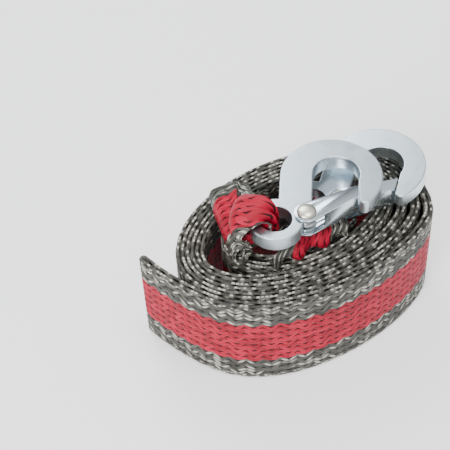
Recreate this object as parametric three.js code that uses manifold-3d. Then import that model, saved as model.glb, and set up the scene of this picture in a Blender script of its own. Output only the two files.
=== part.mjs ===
// Tow strap: flat webbing folded in half and wound on edge into an oval coil, with a sewn
// loop at each end that carries a steel hook with a sprung latch. The coil stands on its
// lower edge on the floor, long axis along X, +Z up, millimetres.
import * as THREE from 'three';
import { mergeVertices } from 'three/addons/utils/BufferGeometryUtils.js';
import Module from 'manifold-3d';

const wasm = await Module();
wasm.setup();

// Webbing
const WEBBING_WIDTH = 50;
const WEBBING_THICKNESS = 1.8;
const CLEARANCE = 0.3;

// Coil, seen from above: an ellipse outside and a slacker core
const COIL_HALF_LENGTH = 61.4;
const COIL_HALF_WIDTH = 40.7;
const COIL_CENTRE_Y = 1.8;
const WOUND_TURNS = 5.22;
const LOOSE_TURNS = 3.4;
const CORE_END_RADIUS = 12;
const CORE_TIP_RADIUS = 0.456;
const CORE_SLACK = 9;
const TAIL_ANGLE = -148;
const TAIL_LENGTH = 37;
const TAIL_BEND = 19;
// Where the outer turns stand fuller than the ellipse: normal's angle and by how much
const FULL_BENDS = [[-48, 5.6], [-112, 2]];
const FULL_BEND_SPREAD = 1.3;
const REAR_END_TURNS = 0.5;

// Hooks, each a flat plate with an eye, a shank and a bow
const HOOK_THICKNESS = 7;
const HOOK_BEVEL = 0.9;
const EYE_RADIUS = 11.5;
const EYE_HOLE_RADIUS = 6.8;
const BOW_CENTRE = [34.5, 0];
const BOW_RADIUS = 21.8;
const THROAT_CENTRE = [36.5, -1];
const THROAT_RADIUS = 10;
const THROAT_END_ANGLE = -68;
const SHANK_ANGLE = 41;
const NOSE_RADIUS = 2.4;
const NOSE_ANGLE = -92;
const EYE_STEPS = 24;
const BOSS_STEPS = 8;
const THROAT_STEPS = 16;

// Latch, rivet and spring
const SHEET = 1;
const PIVOT = [10.6, -7.6];
const PIVOT_BOSS_RADIUS = 3.9;
const LATCH_LENGTH = 27;
const LATCH_ANGLE = -17;
const LATCH_EAR_RADIUS = 5.2;
const LATCH_END_WIDTH = 4.6;
const WEB_START = 6.5;
const RIVET_RADIUS = 2.2;
const RIVET_HEAD_RADIUS = 4.2;
const RIVET_HEAD_HEIGHT = 1.6;
const RIVET_FOOT_HEIGHT = 0.9;
const SPRING_WIRE = 0.8;
const SPRING_TURNS = 3.08;
const SPRING_LEG = 9;
const LUG = 1.3;

// Where each hook lies: underside of the eye's centre, turn about Z and tilt in degrees
const FRONT_HOOK = { eye: [-18.7, -9.7, WEBBING_WIDTH + 15.2], turn: 14.8, tilt: 0 };
const REAR_HOOK = { eye: [6.1, 1.3, WEBBING_WIDTH + 2.5], turn: 0.7, tilt: 5 };

// The sewn end loops: the folded end on the coil, how far it stands up, the shoulders that
// the leaves pass on the way to the eye, and the way in which the loop pulls on the eye
const FRONT_LOOP = {
  hook: FRONT_HOOK,
  pull: 120,
  fold: [[-36.2, -5.5], [-27.6, 30.6]],
  side: -1,
  height: 9,
  upper: [[-31, -5, WEBBING_WIDTH + 18], [-18.5, 20, WEBBING_WIDTH + 16.5]],
  lower: [[-30, -3, WEBBING_WIDTH + 8], [-19, 18, WEBBING_WIDTH + 7]],
};
const REAR_LOOP = {
  hook: REAR_HOOK,
  pull: -102,
  fold: [[-24, -16.4], [13, -16.4]],
  side: 1,
  height: 5.5,
  upper: [[-12, -12.5, WEBBING_WIDTH + 8.2], [12.5, -13, WEBBING_WIDTH + 8.6]],
  lower: [[-14, -11.5, WEBBING_WIDTH + 1.2], [12.5, -12.5, WEBBING_WIDTH + 1.2]],
};
// Where each loop's two plies run down among the turns, and how deep
const FRONT_ROOT = { from: [-28, 11.4], to: [-10, 11.4], width: 20 };
const REAR_ROOT = { from: [-24, -14.2], to: [6, -14.2], width: 30 };
const ROOT_DEPTH = 20;
const GATHERED_THICKNESS = 3.2;
const GATHERED_WIDTH = 8;
const OVER_WALL_WIDTH = 13;
const LOOP_STEPS = 72;

const steel = new THREE.MeshStandardMaterial({ color: 0xc9d3dc, roughness: 0.34, metalness: 0.9 });
const brass = new THREE.MeshStandardMaterial({ color: 0xcfc9b0, roughness: 0.4, metalness: 0.85 });
const fabric = new THREE.MeshStandardMaterial({ color: 0xb33a48, roughness: 0.95, metalness: 0 });

const LAYER = WEBBING_THICKNESS + CLEARANCE;
const rad = THREE.MathUtils.degToRad;
const at = (x, y) => new THREE.Vector2(x, y);

// Closed geometry to a manifold solid, and back
function solid(geometry) {
  const bare = geometry.index ? geometry.toNonIndexed() : geometry.clone();
  for (const name of Object.keys(bare.attributes)) {
    if (name !== 'position') bare.deleteAttribute(name);
  }
  const merged = mergeVertices(bare, 1e-4);
  const mesh = new wasm.Mesh({
    numProp: 3,
    vertProperties: new Float32Array(merged.attributes.position.array),
    triVerts: new Uint32Array(merged.index.array),
  });
  return new wasm.Manifold(mesh);
}

function geometryOf(body) {
  const mesh = body.getMesh();
  const geometry = new THREE.BufferGeometry();
  geometry.setAttribute('position', new THREE.BufferAttribute(mesh.vertProperties, 3));
  geometry.setIndex(new THREE.BufferAttribute(mesh.triVerts, 1));
  geometry.computeVertexNormals();
  return geometry;
}

// The coil. Each turn is given by how far its outer face lies from the centre along the
// normal, so that neighbouring layers keep one clearance all round.
function reach(angle, turns) {
  const c = Math.cos(angle);
  const s = Math.sin(angle);
  const a = COIL_HALF_LENGTH;
  const b = COIL_HALF_WIDTH;
  const inward = 2 * LAYER * turns;
  const core = turns > LOOSE_TURNS;
  let far;
  let slope;
  if (core && s > 0) {
    const straight = a - 2 * LAYER * LOOSE_TURNS - CORE_END_RADIUS;
    const bulge = Math.sqrt(CORE_TIP_RADIUS * straight);
    const oval = Math.hypot(straight * c, bulge * s);
    far = oval + CORE_END_RADIUS - 2 * LAYER * (turns - LOOSE_TURNS);
    slope = ((bulge ** 2 - straight ** 2) * s * c) / oval;
  } else {
    const oval = Math.hypot(a * c, b * s);
    far = oval - inward;
    slope = ((b * b - a * a) * s * c) / oval;
  }
  if (core && c < 0) {
    far -= CORE_SLACK * c * c;
    slope += 2 * CORE_SLACK * c * s;
  }
  const fade = Math.max(0, 1 - turns / LOOSE_TURNS);
  for (const [place, fullness] of FULL_BENDS) {
    const apart = Math.atan2(Math.sin(angle - rad(place)), Math.cos(angle - rad(place)));
    const swing = THREE.MathUtils.clamp(apart * FULL_BEND_SPREAD, -Math.PI / 2, Math.PI / 2);
    far += fade * fullness * Math.cos(swing) ** 4;
    slope -= fade * fullness * 4 * FULL_BEND_SPREAD * Math.cos(swing) ** 3 * Math.sin(swing);
  }
  return { far: far + COIL_CENTRE_Y * s, slope: slope + COIL_CENTRE_Y * c };
}

// Angles of half a turn, closer together where the curve is tight or long
function halfTurnAngles(long, short, radius) {
  const angles = [];
  let angle = 0;
  while (angle < 180) {
    angles.push(angle);
    const oval = Math.hypot(long * Math.cos(rad(angle)), short * Math.sin(rad(angle)));
    const curve = (long * short) ** 2 / oval ** 3 + radius;
    angle += Math.min(10, THREE.MathUtils.radToDeg(7 / curve));
  }
  return angles.map((value) => (value * 180) / angle);
}

function coilStations(endTurns) {
  const outer = halfTurnAngles(COIL_HALF_LENGTH, COIL_HALF_WIDTH, 0);
  const core = halfTurnAngles(COIL_HALF_LENGTH / 2, CORE_SLACK / 2, CORE_END_RADIUS);
  const stations = [];
  for (let half = -1; half < 2 * endTurns; half += 1) {
    const turnsHere = (180 * half + 90 - TAIL_ANGLE) / 360;
    const grid = half % 2 === 0 && turnsHere > LOOSE_TURNS ? core : outer;
    for (const step of grid) {
      const angle = 180 * half + step;
      const turns = (angle - TAIL_ANGLE) / 360;
      if (turns < 0 || turns > endTurns) continue;
      const { far, slope } = reach(rad(angle), turns);
      const normal = new THREE.Vector2(Math.cos(rad(angle)), Math.sin(rad(angle)));
      const point = new THREE.Vector2(far * normal.x - slope * normal.y, far * normal.y + slope * normal.x);
      stations.push({ point, normal });
    }
  }
  return stations;
}

// The tail bends gently away from the coil; its tip is the fold at mid-length
function tailStations(first) {
  const stations = [];
  const steps = 5;
  const along = new THREE.Vector2(first.normal.y, -first.normal.x);
  const point = first.point.clone();
  for (let i = 1; i <= steps; i += 1) {
    const bend = rad((TAIL_BEND * i) / steps);
    const way = along.clone().rotateAround(new THREE.Vector2(), -bend);
    point.addScaledVector(way, TAIL_LENGTH / steps);
    stations.unshift({ point: point.clone(), normal: first.normal.clone().rotateAround(new THREE.Vector2(), -bend) });
  }
  return stations;
}

function coilSolid() {
  const wound = coilStations(WOUND_TURNS);
  const tail = tailStations(wound[0]);
  const all = [...tail, ...wound];
  const outerCount = tail.length + coilStations(WOUND_TURNS - REAR_END_TURNS).length;
  const face = (station, depth) => station.point.clone().addScaledVector(station.normal, -depth);
  const outline = [];
  for (let i = outerCount - 1; i >= 0; i -= 1) outline.push(face(all[i], 0));
  const tip = all[0];
  const middle = face(tip, LAYER - CLEARANCE / 2);
  const ahead = new THREE.Vector2(tip.normal.y, -tip.normal.x);
  const fold = (radius, from, to) => {
    for (let i = 1; i < 8; i += 1) {
      const turn = rad(from + ((to - from) * i) / 8);
      outline.push(middle.clone()
        .addScaledVector(tip.normal, radius * Math.cos(turn))
        .addScaledVector(ahead, radius * Math.sin(turn)));
    }
  };
  fold(LAYER - CLEARANCE / 2, 0, 180);
  for (const station of all) outline.push(face(station, LAYER + WEBBING_THICKNESS));
  for (let i = all.length - 1; i >= 0; i -= 1) outline.push(face(all[i], LAYER));
  fold(CLEARANCE / 2, 180, 0);
  for (let i = 0; i < outerCount; i += 1) outline.push(face(all[i], WEBBING_THICKNESS));
  const shape = new THREE.Shape(outline);
  const body = new THREE.ExtrudeGeometry(shape, { depth: WEBBING_WIDTH, bevelEnabled: false, steps: 1 });
  return solid(body);
}

// A ribbon of webbing between two rails
function ribbon(front, back, thicknesses, closed, steps) {
  const type = 'centripetal';
  const frontRail = new THREE.CatmullRomCurve3(front.map((p) => new THREE.Vector3(...p)), closed, type);
  const backRail = new THREE.CatmullRomCurve3(back.map((p) => new THREE.Vector3(...p)), closed, type);
  const count = closed ? steps : steps + 1;
  const spans = closed ? front.length : front.length - 1;
  const vertices = [];
  for (let i = 0; i < count; i += 1) {
    const u = i / steps;
    const left = frontRail.getPoint(u);
    const right = backRail.getPoint(u);
    const along = frontRail.getTangent(u).add(backRail.getTangent(u));
    const up = along.cross(right.clone().sub(left)).normalize();
    const place = u * spans;
    const from = thicknesses[Math.floor(place) % thicknesses.length];
    const to = thicknesses[(Math.floor(place) + 1) % thicknesses.length];
    const half = THREE.MathUtils.lerp(from, to, place % 1) / 2;
    for (const [rail, side] of [[left, 1], [right, 1], [right, -1], [left, -1]]) {
      vertices.push(rail.clone().addScaledVector(up, side * half));
    }
  }
  const faces = [];
  const rows = closed ? count : count - 1;
  for (let i = 0; i < rows; i += 1) {
    const next = (i + 1) % count;
    for (let k = 0; k < 4; k += 1) {
      const a = 4 * i + k;
      const b = 4 * i + ((k + 1) % 4);
      const c = 4 * next + ((k + 1) % 4);
      const d = 4 * next + k;
      faces.push(a, b, c, a, c, d);
    }
  }
  if (!closed) {
    const last = 4 * (count - 1);
    faces.push(0, 2, 1, 0, 3, 2, last, last + 1, last + 2, last, last + 2, last + 3);
  }
  const geometry = new THREE.BufferGeometry();
  geometry.setAttribute('position', new THREE.Float32BufferAttribute(vertices.flatMap((v) => v.toArray()), 3));
  geometry.setIndex(faces);
  const body = solid(geometry);
  return body.volume() > 0 ? body : solid(flipped(geometry));
}

function flipped(geometry) {
  const faces = Array.from(geometry.index.array);
  for (let i = 0; i < faces.length; i += 3) [faces[i], faces[i + 1]] = [faces[i + 1], faces[i]];
  geometry.setIndex(faces);
  return geometry;
}

// A point given in a hook's own frame
function onHook(place, x, y, z) {
  const turn = new THREE.Euler(0, -rad(place.tilt), rad(place.turn), 'ZYX');
  return new THREE.Vector3(x, y, z).applyEuler(turn).add(new THREE.Vector3(...place.eye)).toArray();
}

// A sewn end loop: a closed band from its fold over the eye's wall, down through the hole
// and back under the wall
function endLoop(loop) {
  const half = GATHERED_THICKNESS / 2;
  const free = EYE_HOLE_RADIUS - CLEARANCE;
  const inside = Math.sqrt(free ** 2 - (GATHERED_WIDTH / 2) ** 2) - half;
  const past = EYE_RADIUS + CLEARANCE;
  const lift = CLEARANCE + half + 0.2;
  const edge = CLEARANCE + WEBBING_THICKNESS / 2 + 0.2;
  const threading = [
    [past, HOOK_THICKNESS + edge, OVER_WALL_WIDTH],
    [inside + lift, HOOK_THICKNESS + lift, GATHERED_WIDTH],
    [inside, HOOK_THICKNESS, GATHERED_WIDTH],
    [inside, HOOK_THICKNESS / 2, GATHERED_WIDTH],
    [inside, 0, GATHERED_WIDTH],
    [inside + lift, -lift, GATHERED_WIDTH],
    [past, -edge, OVER_WALL_WIDTH],
  ];
  const pull = rad(loop.pull);
  const rails = [[], []];
  const inward = new THREE.Vector2(...loop.hook.eye).sub(at(...loop.fold[0]).lerp(at(...loop.fold[1]), 0.5));
  inward.setLength(WEBBING_THICKNESS);
  const low = WEBBING_WIDTH + WEBBING_THICKNESS / 2 - 0.4;
  for (const k of [0, 1]) {
    const [x, y] = loop.fold[k];
    rails[k].push([x + inward.x, y + inward.y, low], [x, y, low + loop.height / 2]);
    rails[k].push([x + inward.x, y + inward.y, low + loop.height], loop.upper[k]);
    const side = (k === 0 ? -1 : 1) * loop.side;
    for (const [out, z, width] of threading) {
      const aside = (side * width) / 2;
      rails[k].push(onHook(
        loop.hook,
        out * Math.cos(pull) - aside * Math.sin(pull),
        out * Math.sin(pull) + aside * Math.cos(pull),
        z,
      ));
    }
    rails[k].push(loop.lower[k]);
  }
  const plain = WEBBING_THICKNESS;
  const thicknesses = [plain, plain, plain, plain, plain, ...Array(5).fill(GATHERED_THICKNESS), plain, plain];
  return ribbon(rails[0], rails[1], thicknesses, true, LOOP_STEPS);
}

function loopRoot({ from, to, width }) {
  const above = WEBBING_THICKNESS;
  const slab = new THREE.BoxGeometry(width, WEBBING_THICKNESS, ROOT_DEPTH + above);
  slab.rotateZ(Math.atan2(to[1] - from[1], to[0] - from[0]));
  slab.translate((from[0] + to[0]) / 2, (from[1] + to[1]) / 2, WEBBING_WIDTH + (above - ROOT_DEPTH) / 2);
  return solid(slab);
}

function webbing() {
  return coilSolid()
    .add(endLoop(FRONT_LOOP))
    .add(endLoop(REAR_LOOP))
    .add(loopRoot(FRONT_ROOT))
    .add(loopRoot(REAR_ROOT));
}

// Hook outline, eye at the origin and bow towards +X
function arc(points, centre, radius, from, to, steps) {
  for (let i = 0; i <= steps; i += 1) {
    const angle = rad(from + ((to - from) * i) / steps);
    points.push(at(centre[0] + radius * Math.cos(angle), centre[1] + radius * Math.sin(angle)));
  }
}

function angleTo(centre, point) {
  return THREE.MathUtils.radToDeg(Math.atan2(point.y - centre[1], point.x - centre[0]));
}

// Where two circles meet, on the right-hand side going from the first centre to the second
function meeting(c1, r1, c2, r2) {
  const apart = Math.hypot(c2[0] - c1[0], c2[1] - c1[1]);
  const along = (apart * apart + r1 * r1 - r2 * r2) / (2 * apart);
  const aside = Math.sqrt(r1 * r1 - along * along);
  const ux = (c2[0] - c1[0]) / apart;
  const uy = (c2[1] - c1[1]) / apart;
  return at(c1[0] + along * ux + aside * uy, c1[1] + along * uy - aside * ux);
}

function hookOutline() {
  const way = at(Math.cos(rad(SHANK_ANGLE)), Math.sin(rad(SHANK_ANGLE)));
  const out = at(-way.y, way.x);
  const points = [];
  const bowSide = at(...BOW_CENTRE).addScaledVector(out, BOW_RADIUS);
  const throatSide = at(...THROAT_CENTRE).addScaledVector(out, THROAT_RADIUS);
  const outerLine = bowSide.dot(out);
  const innerLine = throatSide.dot(out);
  const eyeJoin = at(0, 0).addScaledVector(out, outerLine)
    .addScaledVector(way, Math.sqrt(EYE_RADIUS ** 2 - outerLine ** 2));
  const bossJoin = meeting([0, 0], EYE_RADIUS, PIVOT, PIVOT_BOSS_RADIUS);
  const pivot = at(...PIVOT);
  const drop = innerLine - pivot.dot(out);
  const bossSide = pivot.clone().addScaledVector(out, drop)
    .addScaledVector(way, Math.sqrt(PIVOT_BOSS_RADIUS ** 2 - drop ** 2));
  arc(points, [0, 0], EYE_RADIUS, angleTo([0, 0], eyeJoin), 360 + angleTo([0, 0], bossJoin), EYE_STEPS);
  arc(points, PIVOT, PIVOT_BOSS_RADIUS, angleTo(PIVOT, bossJoin), angleTo(PIVOT, bossSide), BOSS_STEPS);
  arc(points, THROAT_CENTRE, THROAT_RADIUS, SHANK_ANGLE + 90, THROAT_END_ANGLE, THROAT_STEPS);
  const nose = BOW_RADIUS - NOSE_RADIUS;
  const noseCentre = [
    BOW_CENTRE[0] + nose * Math.cos(rad(NOSE_ANGLE)),
    BOW_CENTRE[1] + nose * Math.sin(rad(NOSE_ANGLE)),
  ];
  arc(points, noseCentre, NOSE_RADIUS, SHANK_ANGLE + 90, 360 + NOSE_ANGLE, 7);
  arc(points, BOW_CENTRE, BOW_RADIUS, NOSE_ANGLE, SHANK_ANGLE + 90, 28);
  return points;
}

function plate(points, hole) {
  const shape = new THREE.Shape(points);
  if (hole) {
    const path = new THREE.Path();
    path.absarc(0, 0, hole, 0, 2 * Math.PI, true);
    shape.holes.push(path);
  }
  const geometry = new THREE.ExtrudeGeometry(shape, {
    depth: HOOK_THICKNESS - 2 * HOOK_BEVEL,
    bevelThickness: HOOK_BEVEL,
    bevelSize: HOOK_BEVEL,
    bevelOffset: -HOOK_BEVEL,
    bevelSegments: 1,
    curveSegments: 12,
  });
  geometry.translate(0, 0, HOOK_BEVEL);
  return solid(geometry);
}

function drum(radius, bottom, top, x, y, sides = 24) {
  const geometry = new THREE.CylinderGeometry(radius, radius, top - bottom, sides);
  geometry.rotateX(Math.PI / 2);
  geometry.translate(x, y, (bottom + top) / 2);
  return solid(geometry);
}

const lowest = -CLEARANCE - SHEET;
const highest = HOOK_THICKNESS + CLEARANCE + SHEET;

// The plate keeps a lug above and below the spring
function hookSolid() {
  const bore = drum(RIVET_RADIUS + CLEARANCE, -1, HOOK_THICKNESS + 1, ...PIVOT);
  const pocket = drum(PIVOT_BOSS_RADIUS + CLEARANCE, LUG, HOOK_THICKNESS - LUG, ...PIVOT);
  return plate(hookOutline(), EYE_HOLE_RADIUS).subtract(bore).subtract(pocket);
}

// How much the latch's edges close in towards its end
function latchLean() {
  return Math.asin((LATCH_EAR_RADIUS - LATCH_END_WIDTH / 2) / LATCH_LENGTH);
}

// Latch in its own frame: pivot at the origin, end towards +X, web on the -Y side
function latchSolid() {
  const points = [];
  const half = LATCH_END_WIDTH / 2;
  const lean = THREE.MathUtils.radToDeg(latchLean());
  arc(points, [0, 0], LATCH_EAR_RADIUS, 90 - lean, 270 + lean, 20);
  points.push(at(LATCH_LENGTH, -half), at(LATCH_LENGTH, half));
  const cheeks = new THREE.ExtrudeGeometry(new THREE.Shape(points), {
    depth: highest - lowest,
    bevelEnabled: false,
  });
  cheeks.translate(0, 0, lowest);
  const inside = new THREE.BoxGeometry(4 * LATCH_LENGTH, 4 * LATCH_EAR_RADIUS, HOOK_THICKNESS + 2 * CLEARANCE);
  inside.translate(0, 2 * LATCH_EAR_RADIUS - LATCH_EAR_RADIUS + SHEET, HOOK_THICKNESS / 2);
  inside.rotateZ(rad(lean));
  const open = new THREE.BoxGeometry(2 * LATCH_EAR_RADIUS + WEB_START, 4 * LATCH_EAR_RADIUS, HOOK_THICKNESS + 2 * CLEARANCE);
  open.translate(WEB_START / 2 - LATCH_EAR_RADIUS, 0, HOOK_THICKNESS / 2);
  const bore = drum(RIVET_RADIUS + CLEARANCE, lowest - 1, highest + 1, 0, 0);
  return solid(cheeks).subtract(solid(inside)).subtract(solid(open)).subtract(bore).subtract(tipClearance());
}

// What the latch's end must leave free: the inner edge of the hook's tip and beyond
function tipClearance() {
  const outline = hookOutline();
  const start = outline[EYE_STEPS + 1 + BOSS_STEPS + 1 + THROAT_STEPS];
  const end = outline[EYE_STEPS + 1 + BOSS_STEPS + 1 + THROAT_STEPS + 1];
  const way = end.clone().sub(start).normalize();
  const outward = at(-way.y, way.x);
  const centre = start.clone().addScaledVector(outward, BOW_RADIUS - CLEARANCE);
  const block = new THREE.BoxGeometry(6 * BOW_RADIUS, 2 * BOW_RADIUS, 3 * HOOK_THICKNESS);
  block.rotateZ(Math.atan2(way.y, way.x));
  block.translate(centre.x - PIVOT[0], centre.y - PIVOT[1], HOOK_THICKNESS / 2);
  block.rotateZ(-rad(LATCH_ANGLE));
  return solid(block);
}

function rivetGeometry() {
  const foot = lowest - CLEARANCE;
  const head = highest + CLEARANCE;
  const profile = [at(0, foot - RIVET_FOOT_HEIGHT), at(RIVET_HEAD_RADIUS - 1, foot - RIVET_FOOT_HEIGHT)];
  profile.push(at(RIVET_HEAD_RADIUS, foot), at(RIVET_RADIUS, foot), at(RIVET_RADIUS, head));
  const steps = 6;
  for (let i = 0; i <= steps; i += 1) {
    const angle = (Math.PI / 2) * (i / steps);
    profile.push(at(RIVET_HEAD_RADIUS * Math.cos(angle), head + RIVET_HEAD_HEIGHT * Math.sin(angle)));
  }
  profile[profile.length - 1].x = 0;
  const geometry = new THREE.LatheGeometry(profile, 24);
  geometry.rotateX(Math.PI / 2);
  return geometryOf(solid(geometry));
}

// Torsion spring round the rivet, one leg along the web and one along the shank
function springGeometry() {
  const radius = RIVET_RADIUS + CLEARANCE + SPRING_WIRE / 2 + 0.05;
  const pitch = SPRING_WIRE + 0.12;
  const bottom = HOOK_THICKNESS / 2 - (SPRING_TURNS * pitch) / 2;
  const points = [];
  const begin = rad(LATCH_ANGLE - 90) + latchLean();
  const steps = Math.round(12 * SPRING_TURNS);
  const spot = (angle, z) => new THREE.Vector3(radius * Math.cos(angle), radius * Math.sin(angle), z);
  const leg = spot(begin, bottom);
  for (let i = 3; i >= 1; i -= 1) {
    const out = (SPRING_LEG * i) / 3;
    points.push(leg.clone().add(new THREE.Vector3(-out * Math.sin(begin), out * Math.cos(begin), 0)));
  }
  for (let i = 0; i <= steps; i += 1) {
    points.push(spot(begin - (2 * Math.PI * i) / 12, bottom + (pitch * i) / 12));
  }
  const path = new THREE.CatmullRomCurve3(points, false, 'centripetal');
  const wire = new THREE.Shape();
  wire.absarc(0, 0, SPRING_WIRE / 2, 0, 2 * Math.PI);
  const geometry = new THREE.ExtrudeGeometry(wire, { steps: 2 * steps, extrudePath: path, curveSegments: 3, bevelEnabled: false });
  geometry.translate(PIVOT[0], PIVOT[1], 0);
  return geometryOf(solid(geometry));
}

function named(name, geometry, material) {
  const mesh = new THREE.Mesh(geometry, material);
  mesh.name = name;
  return mesh;
}

function hookSet(side, place) {
  const set = new THREE.Group();
  set.position.set(...place.eye);
  set.rotation.set(0, -rad(place.tilt), rad(place.turn), 'ZYX');
  const latch = named(`latch_${side}`, geometryOf(latchSolid()), steel);
  latch.position.set(PIVOT[0], PIVOT[1], 0);
  latch.rotation.z = rad(LATCH_ANGLE);
  const rivet = named(`rivet_${side}`, rivetGeometry(), brass);
  rivet.position.set(PIVOT[0], PIVOT[1], 0);
  set.add(named(`hook_${side}`, geometryOf(hookSolid()), steel), latch, rivet);
  set.add(named(`latch_spring_${side}`, springGeometry(), steel));
  return set;
}

const strap = new THREE.Group();
strap.add(named('webbing_strap', geometryOf(webbing()), fabric));
strap.add(hookSet('front', FRONT_HOOK), hookSet('rear', REAR_HOOK));

// Origin under the middle of the whole part
strap.updateMatrixWorld(true);
const extent = new THREE.Box3().setFromObject(strap, true);
const middle = extent.getCenter(new THREE.Vector3());
const part = new THREE.Group();
strap.position.set(-middle.x, -middle.y, -extent.min.z);
part.add(strap);

export default part;
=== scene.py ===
# %% [markdown]
# A tow strap: two metres and more of striped flat webbing, folded in half and wound on
# edge into an oval coil, with a forged steel hook on a loop at each end. The measured
# model is loaded first. It fixes every place and size, and the pieces made here are laid
# over it.

# %% Load the measured model
import math

import bpy
import numpy as np
from mathutils import Matrix, Quaternion, Vector


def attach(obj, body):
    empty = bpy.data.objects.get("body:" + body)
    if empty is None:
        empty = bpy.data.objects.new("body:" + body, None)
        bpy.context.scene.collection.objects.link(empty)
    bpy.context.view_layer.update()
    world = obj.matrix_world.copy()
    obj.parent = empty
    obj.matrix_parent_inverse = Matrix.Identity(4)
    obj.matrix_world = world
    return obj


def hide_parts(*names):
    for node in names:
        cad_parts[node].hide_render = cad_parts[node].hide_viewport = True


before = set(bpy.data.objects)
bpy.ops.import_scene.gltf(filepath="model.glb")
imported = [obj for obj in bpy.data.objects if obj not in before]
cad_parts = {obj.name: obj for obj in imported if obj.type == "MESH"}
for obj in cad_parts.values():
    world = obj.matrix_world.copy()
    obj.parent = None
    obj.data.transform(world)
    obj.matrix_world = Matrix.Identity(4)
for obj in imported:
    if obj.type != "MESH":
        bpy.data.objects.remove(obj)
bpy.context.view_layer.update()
MM = 0.001

# %% [markdown]
# The photograph looks down at about 48 degrees with a long lens, and its content is
# turned a little anticlockwise. A long lens far away keeps the oval of the coil calm, so
# the focal length and the distance were both fitted to the coil's edges.

# %% Camera
CAMERA_PLACE = Vector((-189.57, -299.98, 445.9)) * MM
CAMERA_AIM = Vector((-4.19, 56.2, 0.0)) * MM
CAMERA_LENS = 97.74
CAMERA_ROLL = -3.5

camera = bpy.data.objects.new("camera", bpy.data.cameras.new("camera"))
bpy.context.scene.collection.objects.link(camera)
bpy.context.scene.camera = camera
camera.data.lens = CAMERA_LENS
camera.data.sensor_width = 36
camera.data.clip_start = 0.02
camera.data.clip_end = 30
camera.location = CAMERA_PLACE
aim = (CAMERA_AIM - CAMERA_PLACE).to_track_quat("-Z", "Y")
roll = Quaternion((0, 0, 1), math.radians(CAMERA_ROLL))
camera.rotation_mode = "QUATERNION"
camera.rotation_quaternion = aim @ roll
print("camera distance, mm:", round((CAMERA_AIM - CAMERA_PLACE).length / MM, 1))

# %% [markdown]
# Colours are written as hex values, as on a screen, and one function turns them to linear
# ones. A second adds a shader node with its settings and links in one call, so that a
# material reads as a list of steps.

# %% Colours and nodes
def hex_colour(text):
    """An sRGB hex colour as linear values, with full alpha."""
    parts = [int(text[i:i + 2], 16) / 255 for i in (0, 2, 4)]
    linear = [c / 12.92 if c <= 0.04045 else ((c + 0.055) / 1.055) ** 2.4 for c in parts]
    return linear + [1.0]


def add_node(tree, kind, settings=None, **links):
    """Adds a shader node. Settings are its properties, and links fill its inputs.

    An input goes by its name, with _ for a space, or by its place, as i0, i1 and so on.
    """
    node = tree.nodes.new(kind)
    for key, value in (settings or {}).items():
        setattr(node, key, value)
    for key, value in links.items():
        by_place = key[0] == "i" and key[1:].isdigit()
        socket = node.inputs[int(key[1:]) if by_place else key.replace("_", " ")]
        if isinstance(value, bpy.types.NodeSocket):
            tree.links.new(value, socket)
        else:
            socket.default_value = value
    return node


def ramp(tree, value, *stops):
    """A colour ramp. Each stop is a place from 0 to 1 and a hex colour."""
    node = add_node(tree, "ShaderNodeValToRGB", Fac=value)
    elements = node.color_ramp.elements
    while len(elements) < len(stops):
        elements.new(0.5)
    for element, (place, colour) in zip(elements, stops):
        element.position = place
        element.color = hex_colour(colour)
    return node.outputs[0]


def new_material(name):
    """A material with its node tree and its shader."""
    material = bpy.data.materials.new(name)
    material.use_nodes = True
    tree = material.node_tree
    return material, tree, tree.nodes["Principled BSDF"]


print("mid grey 808080 is linear", round(hex_colour("808080")[0], 3))

# %% [markdown]
# The strap was photographed on white, in soft light from above and from the left. Three
# round soft panels, to the left, behind and overhead, give the zinc something bright to
# mirror. The sky is pale overhead, which lifts the shadows between the layers, and dark
# at the horizon, which draws dark edges in the metal.

# %% Light and floor
def area_light(name, place, aim_at, size, power, colour):
    """A round soft panel. Places and sizes are in metres, power in watts."""
    light = bpy.data.lights.new(name, "AREA")
    light.shape = "DISK"
    light.size = size
    light.energy = power
    light.color = hex_colour(colour)[:3]
    lamp = bpy.data.objects.new(name, light)
    bpy.context.scene.collection.objects.link(lamp)
    lamp.location = place
    lamp.rotation_mode = "QUATERNION"
    lamp.rotation_quaternion = (Vector(aim_at) - Vector(place)).to_track_quat("-Z", "Y")


area_light("light_left", (-0.9, -0.5, 0.75), (0, 0, 0.03), 0.6, 14, "ffffff")
area_light("light_back", (0.15, 0.95, 0.9), (0, 0, 0.05), 0.7, 9, "f2f8ff")
area_light("light_top", (0.1, -0.2, 1.3), (0, 0, 0), 0.5, 7, "ffffff")

world = bpy.data.worlds.new("studio")
bpy.context.scene.world = world
world.use_nodes = True
sky_tree = world.node_tree
sky = sky_tree.nodes["Background"]
direction = add_node(sky_tree, "ShaderNodeTexCoord")
upward = add_node(sky_tree, "ShaderNodeSeparateXYZ", Vector=direction.outputs["Generated"])
sky_colour = ramp(sky_tree, upward.outputs[2], (0.05, "2a3036"), (0.9, "fbfdff"))
sky_tree.links.new(sky_colour, sky.inputs["Color"])
sky.inputs["Strength"].default_value = 1.05

FLOOR_SIZE = 6
FLOOR_HEIGHT = -0.0002
bpy.ops.object.select_all(action="DESELECT")
bpy.ops.mesh.primitive_plane_add(size=FLOOR_SIZE, location=(0, 0, FLOOR_HEIGHT))
floor = bpy.context.active_object
floor.name = "studio_floor"
floor_paint, _, floor_shader = new_material("matt_white_board")
floor_shader.inputs["Base Color"].default_value = hex_colour("fcfcfc")
floor_shader.inputs["Roughness"].default_value = 0.9
floor_shader.inputs["Emission Color"].default_value = hex_colour("ffffff")
floor_shader.inputs["Emission Strength"].default_value = 0.5
floor.data.materials.append(floor_paint)
print("floor, m:", FLOOR_SIZE, "soft panels:", len(bpy.data.lights))

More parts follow.
